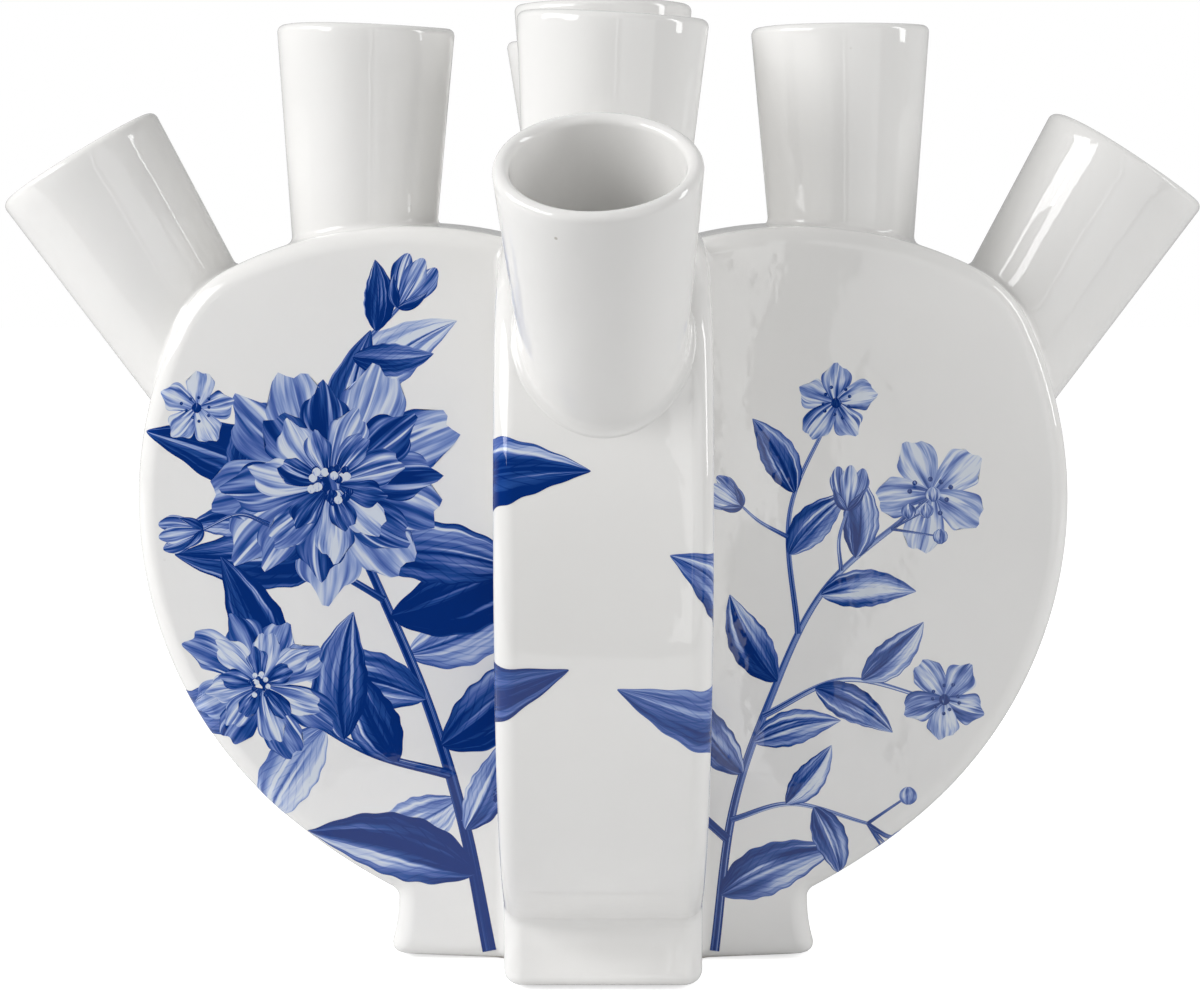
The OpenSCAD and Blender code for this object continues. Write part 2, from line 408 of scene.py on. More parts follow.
def fit_spout(mesh, place, seed, skew):
    """Lays the tube's rings on a spout whose rim is at place, cut by a slope of skew, and fits its foot."""
    wobble = np.random.default_rng(seed)
    oval, oval_at = wobble.uniform(0.0010, 0.0030), wobble.uniform(0, math.pi)
    warp, warp_at = wobble.uniform(0.0001, 0.00025), wobble.uniform(0, 2 * math.pi)
    down = (place.to_3x3() @ Vector((0, 0, -1))).normalized()
    for slot in range(around):
        phi = 2 * math.pi * slot / around
        out = (place.to_3x3() @ Vector((math.cos(phi), math.sin(phi), 0))).normalized()
        stretch = 1 + oval * math.cos(2 * (phi - oval_at))
        sink = warp * (1 + math.cos(2 * phi - warp_at)) - skew * mouth_outer * math.cos(phi)
        origin = place.translation

        def point(radius, depth):
            return origin + out * (radius * stretch) + down * depth

        def outer(depth):
            return point(mouth_outer - (depth - lip_depth) * spout_flare, depth)

        def inner(depth):
            return point(mouth_inner - (depth - lip_depth) * spout_flare, depth)

        start, slope = outer(lip_depth), (outer(0.03) - outer(0.02)).normalized()
        joint, normal, _, _ = ground.ray_cast(start, slope, longest)
        if joint is None:
            joint, normal, _, _ = ground.ray_cast(start + down.cross(out) * seam, slope, longest)
        joint_depth = lip_depth + (joint - start).dot(down)
        run = (out - normal * out.dot(normal)).normalized()
        top = joint - slope * fillet_run
        landing, facing, _, _ = ground.find_nearest(joint + run * fillet_run)
        column = [landing - facing * root]
        for step in range(skirt_rings):
            t = step / (skirt_rings - 1)
            column.append(landing * (1 - t) ** 2 + joint * (2 * t * (1 - t)) + top * t ** 2)
        top_depth = lip_depth + (top - start).dot(down)
        for step in range(1, outer_rings + 1):
            depth = top_depth + (lip_depth + sink - top_depth) * step / outer_rings
            column.append(outer(depth))
        middle = (mouth_inner + mouth_outer) / 2 - sink * spout_flare
        for step in range(1, lip_rings + 1):
            at = math.pi * step / (lip_rings + 1)
            column.append(point(middle + lip_radius * math.cos(at),
                                lip_depth + sink - lip_radius * math.sin(at)))
        for step in range(inner_rings):
            depth = lip_depth + sink + (joint_depth + wall - lip_depth) * step / (inner_rings - 1)
            column.append(inner(depth))
        for ring, spot in enumerate(column):
            mesh.vertices[grid[ring, slot]].co = spot
    mesh.update()


spouts = [("centre_spout", centre, 0)]
for side, turn in turns.items():
    spouts.append((f"{side}_upright_spout", upright, turn))
    spouts.append((f"{side}_slanted_spout", front_slanted if side == "front" else slanted, turn))
for seed, (node, spot, turn) in enumerate(spouts, first_seed):
    piece = tube.copy()
    piece.data = tube.data.copy()
    bpy.context.collection.objects.link(piece)
    piece.name = f"{node}_tube"
    fit_spout(piece.data, stand(spot, sways.get(node, 0), turn), seed, spot.get("skew", 0.0))
    bpy.ops.object.select_all(action="DESELECT")
    piece.select_set(True)
    bpy.context.view_layer.objects.active = piece
    bpy.ops.object.mode_set(mode="EDIT")
    bpy.ops.mesh.select_all(action="SELECT")
    bpy.ops.mesh.normals_make_consistent(inside=False)
    bpy.ops.object.mode_set(mode="OBJECT")
    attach(piece, "root")
    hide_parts(node)
bpy.data.objects.remove(tube)
bpy.ops.object.select_all(action="DESELECT")

# Foot ring: the cross-shaped foot, cast in one with a slight outward flare along each wing, rounded at the
# table. Its glaze is wiped off the ground rim that it stands on.
foot_flare = 0.038
foot_edge = 0.003
foot_wall = 0.0034
end_lift = 0.001
ring_heights = (0.0034, 0.0052, 0.0069, 0.0086, 0.0103, waist)
rim_margin = 0.0006
bare_height = 0.0007
least_rise = 0.001
bpy.ops.mesh.primitive_grid_add(x_subdivisions=3, y_subdivisions=3, size=6 * half)
foot = bpy.context.object
bpy.ops.object.mode_set(mode="EDIT")
edit = bmesh.from_edit_mesh(foot.data)
middles = [(face, face.calc_center_median()) for face in edit.faces]
corners = [face for face, middle in middles if min(abs(middle.x), abs(middle.y)) > half]
bmesh.ops.delete(edit, geom=corners, context="FACES")


def foot_reach(height):
    """How far the foot reaches along a wing at a height: a hollow arc that flares towards the table."""
    return neck_reach + foot_flare - math.sqrt(foot_flare ** 2 - (waist - height) ** 2)


def set_reach(height):
    """Puts the selected ring of the foot at a height, with its ends at their reach there."""
    for vert in bmesh.from_edit_mesh(foot.data).verts:
        if vert.select:
            vert.co.z = height
            for axis in (0, 1):
                if abs(vert.co[axis]) > half + near:
                    vert.co[axis] = math.copysign(foot_reach(height), vert.co[axis])
    bmesh.update_edit_mesh(foot.data)


bpy.ops.mesh.select_all(action="SELECT")
set_reach(0)
for height in ring_heights:
    bpy.ops.mesh.extrude_region_move(TRANSFORM_OT_translate={"value": (0, 0, ring_gap)})
    set_reach(height)
bpy.ops.mesh.delete(type="FACE")
bpy.ops.mesh.select_all(action="SELECT")
bpy.ops.mesh.normals_make_consistent(inside=False)


def upright_edge(edge):
    return abs(edge.verts[0].co.z - edge.verts[1].co.z) > least_rise


def at_inner_corner(vert):
    return abs(abs(vert.co.x) - half) < near and abs(abs(vert.co.y) - half) < near


def on_table(item):
    return all(abs(v.co.z) < near for v in item.verts)


pick(foot, "EDGE", lambda edge: upright_edge(edge) and not any(map(at_inner_corner, edge.verts)))
bpy.ops.mesh.bevel(offset=edge_radius, segments=edge_steps, profile=0.5, affect="EDGES")
pick(foot, "EDGE", lambda edge: upright_edge(edge) and all(map(at_inner_corner, edge.verts)))
bpy.ops.mesh.bevel(offset=fillet, segments=5, profile=0.5, affect="EDGES")
pick(foot, "EDGE", lambda edge: on_table(edge) and edge.calc_face_angle(0) > 1)
bpy.ops.mesh.bevel(offset=foot_edge, segments=6, profile=0.5, affect="EDGES")
pick(foot, "FACE", on_table)
bpy.ops.mesh.inset(thickness=foot_wall - foot_edge + rim_margin)
bpy.ops.mesh.extrude_region_move(TRANSFORM_OT_translate={"value": (0, 0, waist)})
bpy.ops.mesh.delete(type="FACE")
pick(foot, "EDGE", lambda edge: len(edge.link_faces) == 1)
bpy.ops.mesh.bridge_edge_loops()
edit = bmesh.from_edit_mesh(foot.data)
for vert in edit.verts:
    along = max(0.0, max(abs(vert.co.x), abs(vert.co.y)) - half) / (foot_reach(0) - half)
    vert.co.z += end_lift * along * (1 - vert.co.z / waist)
bpy.ops.mesh.select_all(action="SELECT")
bpy.ops.mesh.normals_make_consistent(inside=False)
bpy.ops.object.mode_set(mode="OBJECT")
bpy.ops.object.shade_smooth_by_angle(angle=crease)
foot.modifiers.new("flat_sides", "WEIGHTED_NORMAL").keep_sharp = True
foot.data.materials.append(glaze_material("foot_glaze", bare_below=bare_height))
foot.name = "foot_ring_cast"
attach(foot, "root")
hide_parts("foot_ring")
bpy.ops.object.select_all(action="DESELECT")

# Floor plate: the cast floor that is luted in inside the foot and holds the water, glazed like the rest. The
# frame's own solid has its shape, so it only gets the glaze.
floor_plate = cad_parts["floor_plate"]
floor_plate.data.materials.clear()
floor_plate.data.materials.append(glaze)

# Transfers: four printed sheets of cobalt flowers, cut out, wetted and laid on the glaze, each across one inner
# corner of the vase and here and there over a rounded edge, then fired so that they sink in and shine with it.
# Every petal, leaf and stalk is one patch of film, bent out of a plain grid.
film_rise = 0.00002
film_step = 0.000001
film_depth = 0.00004
film_crease = math.radians(35)
corner_zone = 4
edge_zone = 0.001
short_stroke = 10
line_steps = 40
quarter_fillet = fillet * math.pi / 4
patches = {}
for label, across, along in (("plain", 7, 28), ("middle", 11, 44), ("fine", 18, 72), ("long", 3, 72),
                             ("small", 4, 5)):
    bpy.ops.mesh.primitive_grid_add(x_subdivisions=across, y_subdivisions=along, size=2)
    patch = bpy.context.object
    patches[label] = (np.array([v.co[:2] for v in patch.data.vertices]) / 2 + 0.5,
                      np.array([f.vertices[:] for f in patch.data.polygons]))
    bpy.data.objects.remove(patch)


def past_edge(reach, height):
    """How far a place lies past the start of a wing's rounded edge, and which way the edge faces there."""
    arc = belly_centre, belly_radius
    turn = math.degrees(math.atan2(height - belly_centre[1], reach - belly_centre[0]))
    if turn < keel_turn:
        arc = keel_centre, keel_radius
        turn = math.degrees(math.atan2(height - keel_centre[1], reach - keel_centre[0]))
    if turn < neck_turn - 180:
        far = math.hypot(neck_centre[0] - reach, neck_centre[1] - height)
        ways = (neck_centre[0] - reach) / far, (neck_centre[1] - height) / far
        return neck_centre[0] - neck_reach + edge_radius - far, ways
    if turn > belly_turn:
        over = math.degrees(math.atan2(height - crest_centre[1], reach - crest_centre[0]))
        arc = (crest_centre, crest_radius) if over > shoulder_turn else (shoulder_centre, shoulder_radius)
    (x, z), radius = arc
    far = math.hypot(reach - x, height - z)
    return far - (radius - edge_radius), ((reach - x) / far, (height - z) / far)


def wing_reach_at(place):
    return half + fillet + abs(place) - quarter_fillet


def lay(place, height, first, second, rise):
    """Turns a place on a sheet into a point on the glaze between two wings that reach along first and second."""
    if abs(place) <= quarter_fillet:
        turn = math.pi / 4 + place / fillet
        facing = first * math.sin(turn) + second * math.cos(turn)
        spot = (first + second) * (half + fillet) - facing * fillet
        return spot + facing * rise + Vector((0, 0, height))
    wing_way, facing = (first, second) if place < 0 else (second, first)
    reach = wing_reach_at(place)
    past, (out, up) = past_edge(reach, height)
    depth = 0.0
    if past > 0 and height > waist:
        reach, height = reach - out * past, height - up * past
        roll = min(past / edge_radius, math.pi / 2)
        depth = edge_radius * (1 - math.cos(roll)) + max(0.0, past - edge_radius * math.pi / 2)
        lifted = (edge_radius + rise) * math.sin(roll) + crown_at(half - depth, height)
        reach, height = reach + out * lifted, height + up * lifted
        rise *= math.cos(roll)
    return wing_way * reach + facing * (half - depth + rise) + Vector((0, 0, height))


def way_of(heading):
    return np.array([math.cos(math.radians(heading)), math.sin(math.radians(heading))])


def arc_line(at, heading, length, bend):
    """The middle line of a stroke that starts at a place and turns evenly by its bend."""
    turn = np.radians(heading + bend * (np.linspace(0, 1, line_steps) - 0.5))
    steps = np.stack([np.cos(turn), np.sin(turn)], 1) * length / line_steps
    return np.array(at) + np.vstack([[0, 0], np.cumsum(steps, 0)])


def smooth_line(points):
    """A smooth line through the places of a stalk."""
    points = np.array(points, float)
    padded = np.vstack([2 * points[0] - points[1], points, 2 * points[-1] - points[-2]])
    line = []
    for a, b, c, d in zip(padded, padded[1:], padded[2:], padded[3:]):
        for t in np.linspace(0, 1, 20, endpoint=False):
            line.append(0.5 * (2 * b + (c - a) * t + (2 * a - 5 * b + 4 * c - d) * t ** 2
                               + (3 * b - 3 * c + d - a) * t ** 3))
    return np.vstack([line, points[-1]])


def on_line(line, share):
    """A place on a line and the line's heading there."""
    spot = min(int(share * (len(line) - 1)), len(line) - 2)
    step = line[spot + 1] - line[spot]
    return line[spot], math.degrees(math.atan2(step[1], step[0]))


stroke_shapes = {
    "leaf": lambda v: np.sin(math.pi * v ** 0.8) ** 0.9 * (1 + 0.035 * np.sin(38 * v)) + 0.02,
    "blade": lambda v: np.sin(math.pi * v ** 0.7) ** 1.1 + 0.02,
    "petal": lambda v: v ** 0.6 * (1 - 0.42 * v ** 5) + 0.02,
    "stalk": lambda v: 1 - 0.45 * v,
    "dot": lambda v: np.sqrt(np.clip(1 - (2 * v - 1) ** 2, 0.06, 1)),
}


class Sheet:
    """Collects the patches of one printed sheet in the order in which they overlap.

    A place on a sheet is given in millimetres: along the surface from the inner corner, below 0 on one wing and
    above 0 on the other, and up from the table.
    """

    def __init__(self, seed):
        self.draw = np.random.default_rng(seed)
        self.strokes, self.areas = [], []

    def stroke(self, shape, line, width, tone, ruffle=0.0):
        phase = self.draw.uniform(0, 6.28)
        seed = self.draw.uniform(0, 10)
        tip = 0.2 if shape == "petal" else 0.0
        vein = 1.0 if shape in ("leaf", "blade") else 0.0
        heading = np.unwrap(np.arctan2(*(np.gradient(line, axis=0).T[::-1])))
        share = np.linspace(0, 1, len(line))

        def bend_patch(label):
            u, v = patches[label][0][:, 0] * 2 - 1, patches[label][0][:, 1]
            frill = ruffle * (1 - vein) * np.sin(5 * u + phase)
            run = v * (1 + v ** 2 * (frill - tip * u ** 2))
            spots = np.stack([np.interp(run, share, line[:, n]) for n in (0, 1)], 1)
            spots += np.outer(np.clip(run - 1, 0, 1), (line[-1] - line[-2]) * len(line))
            way = np.interp(run, share, heading)
            side = u * stroke_shapes[shape](v) * width / 2 * (1 + 0.6 * ruffle * np.sin(9 * v + phase))
            return spots + np.stack([-np.sin(way) * side, np.cos(way) * side], 1)

        label = {"dot": "small", "stalk": "long"}.get(shape, "plain")
        spots = bend_patch(label)
        if shape != "stalk" and any(self.bends_at(x, z) for x, z in spots):
            label = "fine" if np.ptp(spots, 0).max() > short_stroke else "middle"
            spots = bend_patch(label)
        low, high = spots.min(0), spots.max(0)
        under = [level for a, b, level in self.areas if (a < high).all() and (low < b).all()]
        self.areas.append((low, high, 1 + max(under, default=0)))
        self.strokes.append((label, spots, tone, seed, vein))

    @staticmethod
    def bends_at(x, z):
        """Whether a place lies in the inner corner or close to a rounded edge, where a film needs a fine grid."""
        return abs(x) < corner_zone or past_edge(wing_reach_at(x / 1000), z / 1000)[0] > -edge_zone

    def stalk(self, points, width, tone):
        line = smooth_line(points)
        self.stroke("stalk", line, width, tone)
        return line

    def leaf(self, line, share, side, length, width, bend, tone):
        """A leaf that grows from a stalk, to the left of its run for a side above 0."""
        at, heading = on_line(line, share)
        self.stroke("leaf", arc_line(at, heading + side, length, bend), width, tone, 0.03)

    def dot(self, at, size, tone):
        self.stroke("dot", arc_line(np.array(at) - [0, size / 2], 90, size, 0), size, tone)

    def bloom(self, at, radius, layers, squash, lean):
        """A many-petalled flower seen a little from the side, built from its outer petals in."""
        for scale, count, wide, tone in layers:
            start = self.draw.uniform(0, 360)
            for number in range(count):
                heading = start + 360 * number / count + self.draw.uniform(-9, 9)
                view = math.hypot(math.cos(math.radians(heading - lean)),
                                  squash * math.sin(math.radians(heading - lean)))
                length = radius * scale * view * self.draw.uniform(0.9, 1.08)
                line = arc_line(np.array(at) + 0.08 * radius * way_of(heading), heading, length,
                                self.draw.uniform(-30, 30))
                self.stroke("petal", line, radius * scale * wide, tone + self.draw.uniform(-0.16, 0.16), 0.06)
        for _ in range(max(6, int(radius))):
            away = radius * 0.17 * math.sqrt(self.draw.uniform(0.1, 1)) * way_of(self.draw.uniform(0, 360))
            self.dot(np.array(at) + away, radius * 0.07, self.draw.choice([-0.2, 1.0]))

    def blossom(self, at, radius, tone):
        """A small flower of five broad petals with a dotted eye."""
        start = self.draw.uniform(0, 72)
        for number in range(5):
            line = arc_line(at, start + 72 * number, radius * self.draw.uniform(0.92, 1.08),
                            self.draw.uniform(-16, 16))
            self.stroke("petal", line, radius * 0.98, tone + self.draw.uniform(-0.12, 0.12), 0.05)
        self.dot(at, radius * 0.26, 1.0)
        for number in range(9):
            away = radius * self.draw.uniform(0.26, 0.42) * way_of(40 * number + self.draw.uniform(-8, 8))
            self.dot(np.array(at) + away, radius * 0.09, 0.95)

    def bud(self, at, heading, size, tone):
        """A closed flower of three petals, held by two sepals."""
        for turn in (-16, 16, 0):
            petal = arc_line(at, heading + turn, size, -turn * 1.6)
            self.stroke("petal", petal, size * 0.52, tone + abs(turn) / 90)
        for turn in (-34, 34):
            self.stroke("blade", arc_line(at, heading + turn, size * 0.62, -turn), size * 0.2, 0.85)

    def berries(self, at, heading, count, size, tone):
        """A spread of round berries on thin stalks."""
        for _ in range(count):
            turn = heading + self.draw.uniform(-55, 55)
            reach = size * self.draw.uniform(1.5, 3.6)
            self.stroke("stalk", arc_line(at, turn, reach, 0), size * 0.2, 0.7)
            self.dot(np.array(at) + reach * way_of(turn), size, tone + self.draw.uniform(-0.15, 0.2))

    def build(self, name, first, second, material):
        """Lays every patch on the two wings that reach along first and second, as one closed piece."""
        points, faces, uvs, marks, base = [], [], [], [], 0
        for (label, spots, tone, seed, vein), (_, _, level) in zip(self.strokes, self.areas):
            flat, quads = patches[label]
            rise = film_rise + film_step * level
            points += [lay(x / 1000, z / 1000, Vector(first), Vector(second), rise) for x, z in spots]
            faces += (quads + base).tolist()
            uvs.append(flat[quads.ravel()])
            marks += [(tone, seed, vein)] * len(flat)
            base += len(flat)
        mesh = bpy.data.meshes.new(name)
        mesh.from_pydata(points, [], faces)
        mesh.uv_layers.new(name="stroke").data.foreach_set("uv", np.vstack(uvs).ravel().astype(np.float32))
        for number, label in enumerate(("tone", "seed", "vein")):
            spots = mesh.attributes.new(label, "FLOAT", "POINT")
            spots.data.foreach_set("value", np.array(marks, np.float32)[:, number].copy())
        if Vector(first).cross(Vector(second)).z > 0:
            mesh.flip_normals()
        piece = bpy.data.objects.new(name, mesh)
        bpy.context.collection.objects.link(piece)
        bpy.ops.object.select_all(action="DESELECT")
        piece.select_set(True)
        bpy.context.view_layer.objects.active = piece
        film = piece.modifiers.new("film", "SOLIDIFY")
        film.thickness = film_depth
        film.offset = -1
        bpy.ops.object.modifier_apply(modifier=film.name)
        bpy.ops.object.shade_smooth_by_angle(angle=film_crease)
        mesh.materials.append(material)
        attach(piece, "root")


def cobalt(nodes, links, ramp):
    """Cobalt print: wet-looking streaks along each stroke, deeper at its root and rim, with a leaf's mid vein."""
    where = nodes.new("ShaderNodeUVMap")
    where.uv_map = "stroke"
    split = nodes.new("ShaderNodeSeparateXYZ")
    links.new(where.outputs["UV"], split.inputs["Vector"])
    u, v = split.outputs["X"], split.outputs["Y"]

    def attribute(label):
        node = nodes.new("ShaderNodeAttribute")
        node.attribute_name = label
        return node.outputs["Fac"]

    tone, seed, vein = attribute("tone"), attribute("seed"), attribute("vein")

    def maths(operation, *values):
        node = nodes.new("ShaderNodeMath")
        node.operation = operation
        for socket, value in zip(node.inputs, values):
            if hasattr(value, "is_output"):
                links.new(value, socket)
            else:
                socket.default_value = value
        return node.outputs[0]

    def span(value, low, high, first, last):
        node = nodes.new("ShaderNodeMapRange")
        node.interpolation_type = "SMOOTHSTEP"
        for label, amount in (("From Min", low), ("From Max", high), ("To Min", first), ("To Max", last)):
            node.inputs[label].default_value = amount
        links.new(value, node.inputs["Value"])
        return node.outputs["Result"]

    def streaks(many, long, detail):
        place = nodes.new("ShaderNodeCombineXYZ")
        links.new(maths("MULTIPLY_ADD", u, many, maths("MULTIPLY", seed, 7.3)), place.inputs["X"])
        links.new(maths("MULTIPLY", v, long), place.inputs["Y"])
        links.new(seed, place.inputs["Z"])
        node = nodes.new("ShaderNodeTexNoise")
        node.inputs["Scale"].default_value = 1
        node.inputs["Detail"].default_value = detail
        links.new(place.outputs["Vector"], node.inputs["Vector"])
        return maths("SUBTRACT", node.outputs["Fac"], 0.5)

    off_middle = maths("ABSOLUTE", maths("MULTIPLY_ADD", u, 2, -1))
    density = maths("MULTIPLY_ADD", streaks(5, 1.0, 2), 2.0, tone)
    density = maths("MULTIPLY_ADD", streaks(22, 2.0, 3), 0.6, density)
    density = maths("ADD", density, span(streaks(9, 0.8, 1), 0.08, 0.22, 0, -0.55))
    density = maths("ADD", density, span(off_middle, 0.78, 0.97, 0, 0.16))
    density = maths("ADD", density, span(v, 0.0, 0.55, 0.26, 0))
    density = maths("MULTIPLY_ADD", span(off_middle, 0.03, 0.09, 0.26, 0), vein, density)
    density = maths("MULTIPLY_ADD", span(u, 0.49, 0.53, 0.10, -0.14), vein, density)
    ribs = maths("SINE", maths("MULTIPLY_ADD", v, 60, maths("MULTIPLY", off_middle, -22)))
    density = maths("MULTIPLY_ADD", span(ribs, 0.72, 1.0, 0, 0.10), vein, density)
    return ramp(density, [(0.0, (0.66, 0.71, 0.79)), (0.20, (0.42, 0.50, 0.72)), (0.40, (0.20, 0.29, 0.58)),
                          (0.58, (0.080, 0.140, 0.42)), (0.78, (0.016, 0.070, 0.29)),
                          (1.0, (0.001, 0.026, 0.18))]).outputs["Color"]


def spray(sheet):
    """Dense sheet: two full blooms, broad leaves, small blossoms and buds on one branching stalk."""
    stem = smooth_line([(-3, 2), (-8, 28), (-15, 52), (-24, 74), (-33, 94)])
    side_stem = smooth_line([on_line(stem, 0.36)[0], (-28, 43), (-47, 55)])
    far_stem = smooth_line([on_line(stem, 0.74)[0], (-46, 88), (-59, 109)])
    top_stem = smooth_line([(-34, 98), (-31, 118), (-20, 131)])
    over_stem = smooth_line([on_line(stem, 0.26)[0], (12, 46), (32, 66), (46, 84), (58, 104)])
    for line, share, side, length, width, bend, tone in (
            (stem, 0.30, 96, 22, 10, -36, 0.10), (stem, 0.62, -84, 30, 12, 30, 0.16),
            (side_stem, 0.7, 92, 26, 11, 24, 0.12), (top_stem, 0.30, -46, 30, 11, -30, 0.14),
            (over_stem, 0.6, 70, 30, 12, 24, 0.12)):
        sheet.leaf(line, share, side, length, width, bend, tone)
    for line, width, tone in ((stem, 2.8, 0.85), (side_stem, 2.0, 0.75), (far_stem, 1.5, 0.65),
                              (top_stem, 1.4, 0.65), (over_stem, 2.2, 0.8)):
        sheet.stroke("stalk", line, width, tone)
    for line, share, side, length, width, bend, tone in (
            (stem, 0.16, 66, 35, 13, 26, 0.90), (stem, 0.24, -36, 20, 8, 26, 0.62),
            (stem, 0.42, -62, 32, 13, 34, 0.80), (stem, 0.52, 58, 28, 11, 26, 0.46),
            (stem, 0.70, -88, 38, 14, 36, 0.98), (stem, 0.97, 44, 42, 14, 20, 0.95),
            (stem, 0.97, -34, 36, 12, -24, 0.74), (stem, 0.90, 72, 36, 13, -30, 0.84),
            (stem, 0.86, -122, 34, 12, -30, 0.66), (side_stem, 0.30, -50, 22, 10, -26, 0.88),
            (side_stem, 0.62, -64, 26, 11, -30, 0.60),
            (side_stem, 0.95, -36, 30, 11, 26, 0.92), (side_stem, 0.95, 40, 28, 10, -24, 0.72),
            (far_stem, 0.50, 48, 16, 6.5, 26, 0.70), (far_stem, 0.72, -46, 16, 6.5, -26, 0.84),
            (top_stem, 0.62, -52, 16, 6.5, 26, 0.66), (top_stem, 0.80, 46, 14, 6, 24, 0.80),
            (over_stem, 0.20, -46, 32, 12, 26, 0.92), (over_stem, 0.40, 52, 30, 12, -24, 0.70),
            (over_stem, 0.55, -52, 46, 14, 24, 0.94), (over_stem, 0.75, 58, 28, 11, 26, 0.55),
            (over_stem, 0.96, -44, 32, 12, -24, 0.90), (over_stem, 0.30, -76, 27, 10, 30, 0.64)):
        sheet.leaf(line, share, side, length, width, bend, tone)
    sheet.bloom((-34, 96), 24, [(1.0, 9, 0.68, 0.40), (0.82, 8, 0.64, 0.66), (0.60, 7, 0.68, 0.30),
                                (0.40, 6, 0.74, 0.70)], 0.86, 24)
    sheet.bloom((-48, 56), 15, [(1.0, 8, 0.68, 0.56), (0.74, 7, 0.68, 0.28), (0.46, 5, 0.78, 0.70)], 0.84, 150)
    sheet.bloom((26, 98), 15, [(1.0, 8, 0.68, 0.42), (0.74, 7, 0.68, 0.66), (0.46, 5, 0.78, 0.34)], 0.9, 60)
    sheet.blossom((-60, 111), 7.5, 0.30)
    sheet.bud((-20.4, 130.6), 62, 11, 0.40)
    at = on_line(far_stem, 0.5)[0]
    twig = sheet.stalk([at, at + [-6, 2], at + [-13, -1]], 1.0, 0.65)
    sheet.bud(twig[-1], 190, 9, 0.40)
    at = on_line(over_stem, 0.5)[0]
    twig = sheet.stalk([at, at + [8, -2], at + [16, -8]], 1.2, 0.7)
    sheet.blossom(twig[-1], 7, 0.36)


def sprig(sheet):
    """Lighter sheet: an arching sprig with open blossoms, buds, berries and small leaves."""
    stem = smooth_line([(-2.6, 2), (-6, 30), (-13, 52), (-24, 75), (-43, 92)])
    side_stem = smooth_line([on_line(stem, 0.48)[0], (-28, 57), (-46, 53)])
    top_stem = smooth_line([on_line(stem, 0.66)[0], (-17, 90), (-25, 110)])
    low_stem = smooth_line([on_line(stem, 0.24)[0], (-18, 32), (-33, 28)])
    over_stem = smooth_line([on_line(stem, 0.20)[0], (14, 42), (32, 54), (46, 63), (58, 77)])
    for line, width, tone in ((stem, 1.9, 0.6), (side_stem, 1.3, 0.5), (top_stem, 1.2, 0.5),
                              (low_stem, 1.2, 0.55), (over_stem, 1.8, 0.65)):
        sheet.stroke("stalk", line, width, tone)
    for line, share, side, length, width, bend, tone in (
            (stem, 0.10, 62, 25, 10, 22, 0.60), (stem, 0.34, -50, 21, 8, 26, 0.56),
            (stem, 0.42, 56, 18, 7, 24, 0.42), (stem, 0.56, -50, 20, 8, 26, 0.62),
            (stem, 0.74, 52, 19, 7.5, 24, 0.40), (stem, 0.84, -48, 17, 7, -24, 0.56),
            (side_stem, 0.34, 54, 18, 7, 24, 0.50), (side_stem, 0.60, -52, 17, 7, -24, 0.44),
            (top_stem, 0.34, 48, 17, 7, 24, 0.48), (top_stem, 0.60, -48, 17, 7, -24, 0.60),
            (low_stem, 0.45, -50, 15, 6, -22, 0.46), (low_stem, 0.66, 54, 16, 6.5, 22, 0.62),
            (over_stem, 0.22, -42, 22, 9, 22, 0.66), (over_stem, 0.42, 50, 21, 8, -22, 0.48),
            (over_stem, 0.74, -40, 38, 13, 20, 0.66), (over_stem, 0.98, -14, 27, 11, -26, 0.60),
            (over_stem, 0.60, 60, 20, 8, 22, 0.44)):
        sheet.leaf(line, share, side, length, width, bend, tone)
    sheet.blossom((-45, 94), 11, 0.24)
    sheet.blossom((-48, 53), 8.5, 0.36)
    sheet.blossom((-26, 112), 8, 0.30)
    for line, share, shift, size in ((stem, 0.80, (-1, 12), 9), (top_stem, 0.40, (9, 6), 8),
                                     (over_stem, 0.52, (2, 16), 10)):
        at = on_line(line, share)[0]
        twig = sheet.stalk([at, at + np.array(shift) * 0.5 + [1, 0], at + np.array(shift)], 0.9, 0.5)
        sheet.bud(twig[-1], math.degrees(math.atan2(shift[1], shift[0])), size, 0.34)
    sheet.berries(low_stem[-1], 195, 6, 3.6, 0.5)
    sheet.berries(on_line(stem, 0.93)[0], 150, 4, 3.0, 0.4)


print_film = glaze_material("cobalt_transfer", tint=cobalt)
left_way, right_way, front_way, back_way = (-1, 0, 0), (1, 0, 0), (0, -1, 0), (0, 1, 0)
for name, seed, design, first, second in (
        ("front_left_transfer", 7, spray, left_way, front_way),
        ("front_right_transfer", 12, sprig, right_way, front_way),
        ("back_right_transfer", 23, spray, back_way, right_way),
        ("back_left_transfer", 31, sprig, back_way, left_way)):
    sheet = Sheet(seed)
    design(sheet)
    sheet.build(name, first, second, print_film)
bpy.ops.object.select_all(action="DESELECT")

# Studio: a white table and backdrop in a darker room, two soft boxes at the left, three pale cards at the front
# right that the right face mirrors as bright bands, a tall strip at the right and a weak light from all round.
bpy.ops.mesh.primitive_plane_add(size=2.4, location=(0, 1, 0))
bpy.ops.object.transform_apply(location=True)
table = bpy.context.object
table.name = "studio_floor"
paper = bpy.data.materials.new("white_paper")
paper.use_nodes = True
nodes, links = paper.node_tree.nodes, paper.node_tree.links
nodes["Principled BSDF"].inputs["Base Color"].default_value = (0.86, 0.86, 0.86, 1)
nodes["Principled BSDF"].inputs["Roughness"].default_value = 0.9
rays = nodes.new("ShaderNodeLightPath")
glow = nodes.new("ShaderNodeEmission")
links.new(rays.outputs["Is Camera Ray"], glow.inputs["Strength"])
glow.inputs["Color"].default_value = (0.68, 0.68, 0.68, 1)
both = nodes.new("ShaderNodeAddShader")
links.new(nodes["Principled BSDF"].outputs[0], both.inputs[0])
links.new(glow.outputs[0], both.inputs[1])
links.new(both.outputs[0], nodes["Material Output"].inputs["Surface"])
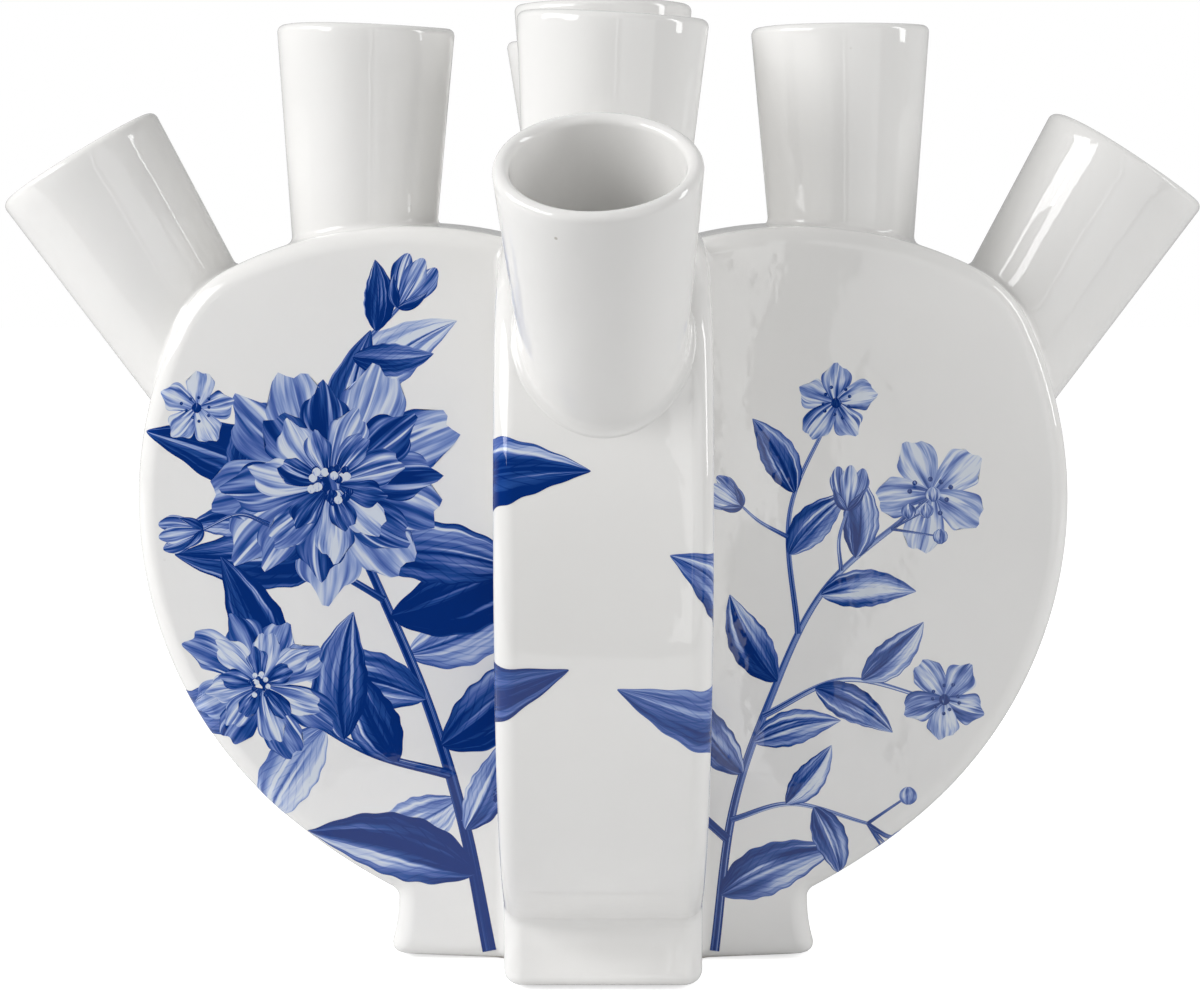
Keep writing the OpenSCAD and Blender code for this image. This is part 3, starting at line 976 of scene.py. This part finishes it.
table.data.materials.append(paper)

world = bpy.data.worlds.new("studio")
bpy.context.scene.world = world
world.use_nodes = True
nodes, links = world.node_tree.nodes, world.node_tree.links
rays = nodes.new("ShaderNodeLightPath")
lit = nodes["Background"]
lit.inputs["Color"].default_value = (1, 1, 1, 1)
lit.inputs["Strength"].default_value = 0.4
way = nodes.new("ShaderNodeTexCoord")
split = nodes.new("ShaderNodeSeparateXYZ")
depth = nodes.new("ShaderNodeMapRange")
for label, amount in (("From Min", -0.1), ("From Max", 0.5), ("To Min", 0.03), ("To Max", 0.45)):
    depth.inputs[label].default_value = amount
mirrored = nodes.new("ShaderNodeBackground")
links.new(way.outputs["Generated"], split.inputs[0])
links.new(split.outputs["Y"], depth.inputs["Value"])
links.new(depth.outputs["Result"], mirrored.inputs["Strength"])
seen = nodes.new("ShaderNodeBackground")
for background in (mirrored, seen):
    background.inputs["Color"].default_value = (1, 1, 1, 1)
straight = nodes.new("ShaderNodeMath")
straight.operation = "MAXIMUM"
links.new(rays.outputs["Is Camera Ray"], straight.inputs[0])
links.new(rays.outputs["Is Transmission Ray"], straight.inputs[1])
first_choice, last_choice = nodes.new("ShaderNodeMixShader"), nodes.new("ShaderNodeMixShader")
links.new(rays.outputs["Is Glossy Ray"], first_choice.inputs[0])
links.new(lit.outputs[0], first_choice.inputs[1])
links.new(mirrored.outputs[0], first_choice.inputs[2])
links.new(straight.outputs[0], last_choice.inputs[0])
links.new(first_choice.outputs[0], last_choice.inputs[1])
links.new(seen.outputs[0], last_choice.inputs[2])
links.new(last_choice.outputs[0], nodes["World Output"].inputs["Surface"])


def soft_box(name, spot, aim, width, height, power):
    """A rectangular area lamp at a spot, turned to face what it aims at."""
    lamp = bpy.data.lights.new(name, "AREA")
    lamp.shape = "RECTANGLE"
    lamp.size, lamp.size_y = width, height
    lamp.energy = power
    holder = bpy.data.objects.new(name, lamp)
    holder.location = spot
    holder.rotation_euler = (Vector(aim) - Vector(spot)).to_track_quat("-Z", "Y").to_euler()
    bpy.context.collection.objects.link(holder)
    return holder


soft_box("left_box", (-0.88, -0.26, 0.58), (0, 0, 0.1), 0.6, 0.5, 5.9)
soft_box("front_left_box", (-0.8, -0.66, 0.56), (0, 0, 0.1), 0.34, 0.45, 2.9)
card_distance, card_height, card_tall = -0.47, 0.15, 0.6
for name, across, wide, power, lights_body in (
        ("right_card", 0.37, 0.43, 0.76, True), ("inner_card", 0.122, 0.066, 0.12, False),
        ("narrow_card", 0.0425, 0.019, 0.055, False)):
    card = soft_box(name, (across, card_distance, card_height), (across, 0, card_height), wide, card_tall, power)
    card.visible_diffuse = lights_body
soft_box("right_strip", (0.9, -0.1, 0.5), (0, 0, 0.12), 0.16, 0.7, 2.4)

camera = bpy.data.cameras.new("camera")
camera.sensor_width = 36
camera.lens = 91.3
eye = bpy.data.objects.new("camera", camera)
eye.location = (-0.0006, -0.6144, 0.1607)
eye.rotation_euler = (math.radians(83.58), 0, 0)
bpy.context.collection.objects.link(eye)
bpy.context.scene.camera = eye
bpy.context.scene.view_settings.view_transform = "Standard"
